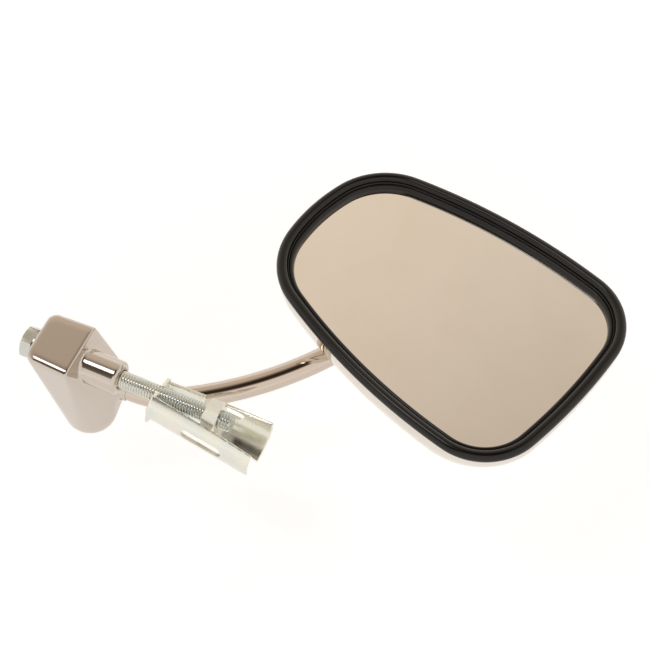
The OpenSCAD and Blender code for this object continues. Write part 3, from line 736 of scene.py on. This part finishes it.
def clipLeg(sizes, side, edges):
    # P(x, q) = (x, side r cos q, r sin q), r running from the closed radius to the open one;
    # the inside is r - sheet
    x = np.linspace(0, sizes["length"], 60)[:, None]
    share = x / sizes["length"]
    low = np.radians(edges[0][0] + (edges[1][0] - edges[0][0]) * share)
    high = np.radians(edges[0][1] + (edges[1][1] - edges[0][1]) * share)
    q = low + (high - low) * np.linspace(0, 1, 40)[None, :]
    outer = sizes["closedRadius"] + (sizes["openRadius"] - sizes["closedRadius"]) * share
    # the fold at the closed end is drawn in a little
    outer = outer - sizes["foldIn"] * np.clip(1 - x / sizes["foldLength"], 0, 1) ** 2
    rings = [
        np.stack([x + 0 * angle, side * radius * np.cos(angle), radius * np.sin(angle)], -1)
        for radius, angle in ((outer, q), (outer - sizes["sheet"], q[:, ::-1]))]
    rings = np.concatenate(rings, 1)
    count = rings.shape[:2]
    caps = [cap[::-1] for cap in endCaps(*count)]
    return meshPiece("legForm", rings.reshape(-1, 3), gridQuads(*count), caps)


def clipFloor(sizes):
    # the folded end: a flat plate whose outline is both legs' arcs, r (-+cos q, sin q),
    # joined by straight edges
    r = sizes["closedRadius"] - sizes["foldIn"]
    near, far = (np.radians(np.linspace(*sizes[side], 24)) for side in ("nearFloor", "farFloor"))
    # the plate's lower near corner stands out as a small ear
    nearR = (r + sizes["ear"] * np.linspace(1, 0, 24) ** sizes["earPower"])[:, None]
    ring = np.concatenate([
        nearR * np.stack([-np.cos(near), np.sin(near)], -1),
        r * np.stack([np.cos(far), np.sin(far)], -1)[::-1]])
    count = 2, len(ring)
    rings = np.stack([
        np.column_stack([np.full(len(ring), x), ring]) for x in (0, sizes["sheet"])])
    caps = [cap[::-1] for cap in endCaps(*count)]
    return meshPiece("floorForm", rings.reshape(-1, 3), gridQuads(*count), caps)


def slotBar(sizes, around=64):
    # a round-ended slot is a bar through both legs: (h cos t + sign(cos t) reach, h sin t)
    half = sizes["slotWidth"] / 2
    reach = sizes["slotLength"] / 2 - half
    t = np.linspace(0, 2 * np.pi, around, endpoint=False)
    x, z = half * np.cos(t) + np.sign(np.cos(t)) * reach, half * np.sin(t)
    rings = np.stack([
        np.column_stack([x, np.full(around, y), z])
        for y in (-sizes["slotReach"], sizes["slotReach"])])
    middle = np.array([sizes["slotFrom"] + sizes["slotLength"] / 2, 0, 0])
    caps = [cap[::-1] for cap in endCaps(2, around)]
    bar = meshPiece("slotBar", rings.reshape(-1, 3) + middle, gridQuads(2, around), caps)
    bar.data.transform(Matrix.Rotation(np.radians(-sizes["slotDip"]), 4, "X"))
    return bar


def buildClip(sizes):
    # both legs and the end plate as one skin, less slots and hole; then
    # place + Rz(-hang sin lean) Ry(hang cos lean) Rx(roll) about the end plate's middle
    form = bmesh.new()
    takeForms(form, [clipLeg(sizes, -1, sizes["nearLeg"]), clipLeg(sizes, 1, sizes["farLeg"]),
        clipFloor(sizes)])
    hole = turned("boltHole", [[-2, sizes["hole"]], [3, sizes["hole"]]], (0, 0, 0), 64)
    cutters = [slotBar(sizes), hole]
    for cutter in cutters:
        shape = bmesh.new()
        shape.from_mesh(cutter.data)
        bmesh.ops.recalc_face_normals(shape, faces=shape.faces)
        shape.to_mesh(cutter.data)
        shape.free()
    piece = grownSkin("foldedClip", form, cutters, sizes["voxel"], sizes["smoothing"])
    roll, hang, lean = (np.radians(sizes[k]) for k in ("roll", "hang", "lean"))
    hangTurn = (Matrix.Rotation(-hang * np.sin(lean), 4, "Z")
        @ Matrix.Rotation(hang * np.cos(lean), 4, "Y") @ Matrix.Rotation(roll, 4, "X"))
    half = sizes["sheet"] / 2
    place = Matrix.Translation([v * mm for v in (sizes["x"] + half, *sizes["drop"])])
    piece.data.transform(place @ hangTurn @ Matrix.Translation((-half * mm, 0, 0)))
    return piece


dress(buildClip(clipSizes), clearZincSheet, "expander_clip")
print("clip made")


# pieces whose CAD shape is right already, with their edges shaded:
# node, piece, material, slot, sharpest edge in degrees that is still shaded smooth

plainPieces = [
    ("stem_grub_screw", "setScrew", blackedSteel, "small_steel", 28),
    ("spring_washer", "springWasher", zincPlatedSteel, "small_steel", 28),
    ("expander_nut", "clipNut", clearZincSheet, "zinc_plate", 28),
    ("friction_cup", "linerCup", mouldedNylon, "nylon", 28),
    ("pressure_pad", "linerPad", mouldedNylon, "nylon", 28),
    ("socket_plate", "socketPlate", zincPlatedSteel, "zinc_plate", 28),
    ("retainer_plate", "domedRetainer", zincPlatedSteel, "zinc_plate", 28),
    ("socket_studs", "weldStuds", blackedSteel, "small_steel", 28),
    ("stud_washers", "studSpringWashers", blackedSteel, "small_steel", 28),
    ("stud_nuts", "studNuts", zincPlatedSteel, "zinc_plate", 28),
    ("mirror_glass", "mirrorPane", silveredGlass, "mirror_glass", 20),
    ("glass_backing", "foamPad", closedCellFoam, "foam", 20),
]
for node, name, material, slotName, angle in plainPieces:
    dress(mergedCopy(node, name, angle), material, node)
print("plain pieces dressed")


# floor: it lies just under the lowest reach of the head, which swings below the bracket's foot

floorSizes = {"centre": (60.0, 30.0, -64.2), "across": 6000.0, "glow": 0.42, "glossShare": 0.85}


def floorMaterial(sizes):
    # white paper sweep; a little of its own light brings it to white for the camera,
    # and reflections get a little less of that
    material, tree = newMaterial("whiteSweep")
    paper = addNode(tree, "ShaderNodeBsdfDiffuse", Color=linear("f4f3f1"))
    glow = addNode(tree, "ShaderNodeEmission", Color=linear("f1f5ff"), Strength=sizes["glow"])
    both = addNode(tree, "ShaderNodeAddShader", links={0: paper.outputs[0], 1: glow.outputs[0]})
    rays = addNode(tree, "ShaderNodeLightPath").outputs
    pick = addNode(tree, "ShaderNodeMath",
        links={0: rays["Is Glossy Ray"], 2: rays["Is Camera Ray"]},
        operation="MULTIPLY_ADD", i1=sizes["glossShare"])
    mixed = addNode(tree, "ShaderNodeMixShader",
        links={0: pick.outputs[0], 1: paper.outputs[0], 2: both.outputs[0]})
    finishMaterial(tree, mixed)
    return material


def layFloor(sizes):
    # a flat square: centre + (+-across / 2, +-across / 2, 0)
    corners = np.array([(-1, -1, 0), (1, -1, 0), (1, 1, 0), (-1, 1, 0)]) * sizes["across"] / 2
    card = meshPiece("floor", np.array(sizes["centre"]) + corners, [[0, 1, 2, 3]])
    card.data.materials.append(floorMaterial(sizes))


layFloor(floorSizes)


# world: a plain tan room, light low down and darker overhead; on the camera's side it stays
# light higher up

roomSizes = {
    "back": [(0.0, "ffffff"), (0.2, "fdfbf6"), (0.38, "f0ece2"), (0.6, "ded9ca"),
        (0.75, "c8c1b3"), (0.87, "b6aa9c"), (0.93, "968d85"), (0.975, "5f5753"),
        (1.0, "3b342c")],
    "front": [(0.0, "fffdf9"), (0.5, "f3efea"), (0.84, "f6f0ea"), (0.9, "b9afa6"),
        (0.95, "4a423c"), (1.0, "3b342c")],
    "frontWay": (0.7, -0.7, 0), "frontFrom": 0.05, "frontTo": 0.4, "strength": 1.15,
    # parts of the room: direction, radius, softness, colour
    "patches": [
        ((-0.45, 0.62, 0.64), 0.1, 0.45, "d9cab9"),
        ((-0.31, -0.46, 0.83), 0.12, 0.12, "574f49"),
        ((-0.18, -0.26, 0.95), 0.10, 0.10, "3f3832"),
        ((-0.31, -0.62, 0.72), 0.08, 0.12, "6a625a"),
        ((0.05, -0.05, 1.0), 0.16, 0.16, "352d26"),
        ((-0.78, -0.54, 0.32), 0.20, 0.12, "ffffff"),
    ],
}


def studioWorld(sizes):
    # colour = mix(back(z), front(z), smoothstep of d . frontWay), then each patch over it by
    # smoothstep of the distance from its direction; the camera itself sees plain white
    world = bpy.data.worlds.new("studioRoom")
    bpy.context.scene.world = world
    world.use_nodes = True
    tree = world.node_tree
    tree.nodes.clear()
    way = addNode(tree, "ShaderNodeTexCoord").outputs["Generated"]
    height = addNode(tree, "ShaderNodeSeparateXYZ", links={"Vector": way}).outputs["Z"]
    back = addNode(tree, "ShaderNodeValToRGB", links={"Fac": height})
    rampStops(back, sizes["back"])
    front = addNode(tree, "ShaderNodeValToRGB", links={"Fac": height})
    rampStops(front, sizes["front"])
    side = addNode(tree, "ShaderNodeVectorMath", links={0: way},
        operation="DOT_PRODUCT", i1=sizes["frontWay"])
    share = addNode(tree, "ShaderNodeMapRange", links={"Value": side.outputs["Value"]},
        interpolation_type="SMOOTHSTEP", i1=sizes["frontFrom"], i2=sizes["frontTo"],
        i3=0.0, i4=1.0)
    colour = addNode(tree, "ShaderNodeMix", data_type="RGBA",
        links={0: share.outputs[0], 6: back.outputs[0], 7: front.outputs[0]}).outputs[2]
    for direction, radius, soft, tone in sizes["patches"]:
        unit = np.array(direction) / np.linalg.norm(direction)
        far = addNode(tree, "ShaderNodeVectorMath", links={0: way},
            operation="DISTANCE", i1=tuple(unit))
        near = addNode(tree, "ShaderNodeMapRange", links={"Value": far.outputs["Value"]},
            interpolation_type="SMOOTHSTEP", i1=radius, i2=radius + soft, i3=1.0, i4=0.0)
        colour = addNode(tree, "ShaderNodeMix", data_type="RGBA", i7=linear(tone),
            links={0: near.outputs[0], 6: colour}).outputs[2]
    room = addNode(tree, "ShaderNodeBackground", links={"Color": colour},
        Strength=sizes["strength"])
    white = addNode(tree, "ShaderNodeBackground", Color=linear("ffffff"), Strength=1.0)
    rays = addNode(tree, "ShaderNodeLightPath").outputs
    seen = addNode(tree, "ShaderNodeMixShader",
        links={0: rays["Is Camera Ray"], 1: room.outputs[0], 2: white.outputs[0]})
    addNode(tree, "ShaderNodeOutputWorld", links={"Surface": seen.outputs[0]})


studioWorld(roomSizes)


# lamp and camera

lampSizes = {"place": (-384.0, -96.0, 1128.0), "width": 300, "height": 380, "watts": 1.1}
lampData = bpy.data.lights.new("overheadLamp", "AREA")
lampData.shape, lampData.energy = "RECTANGLE", lampSizes["watts"]
lampData.size, lampData.size_y = lampSizes["width"] * mm, lampSizes["height"] * mm
lampBack = np.array(lampSizes["place"]) / np.linalg.norm(lampSizes["place"])
lampRight = np.cross([0, 0, 1.0], lampBack)
lampRight /= np.linalg.norm(lampRight)
linked("overheadLamp", lampData).matrix_world = axesMatrix(
    lampRight, np.cross(lampBack, lampRight), lampBack, lampSizes["place"])

cameraSizes = {
    "place": (164.6, -183.1, 434.06), "right": (0.91254, 0.40899, 0.00146),
    "up": (-0.35483, 0.78992, 0.50012), "back": (0.20339, -0.4569, 0.86595),
    "lens": 83.08, "sensor": 36.0, "clip": (0.01, 20),
}
cameraData = bpy.data.cameras.new("camera")
cameraData.lens, cameraData.sensor_width = cameraSizes["lens"], cameraSizes["sensor"]
cameraData.sensor_fit = "HORIZONTAL"
cameraData.clip_start, cameraData.clip_end = cameraSizes["clip"]
camera = linked("camera", cameraData)
camera.matrix_world = axesMatrix(
    cameraSizes["right"], cameraSizes["up"], cameraSizes["back"], cameraSizes["place"])
bpy.context.scene.camera = camera
bpy.context.scene.view_settings.view_transform = "Standard"
print("light and camera set")
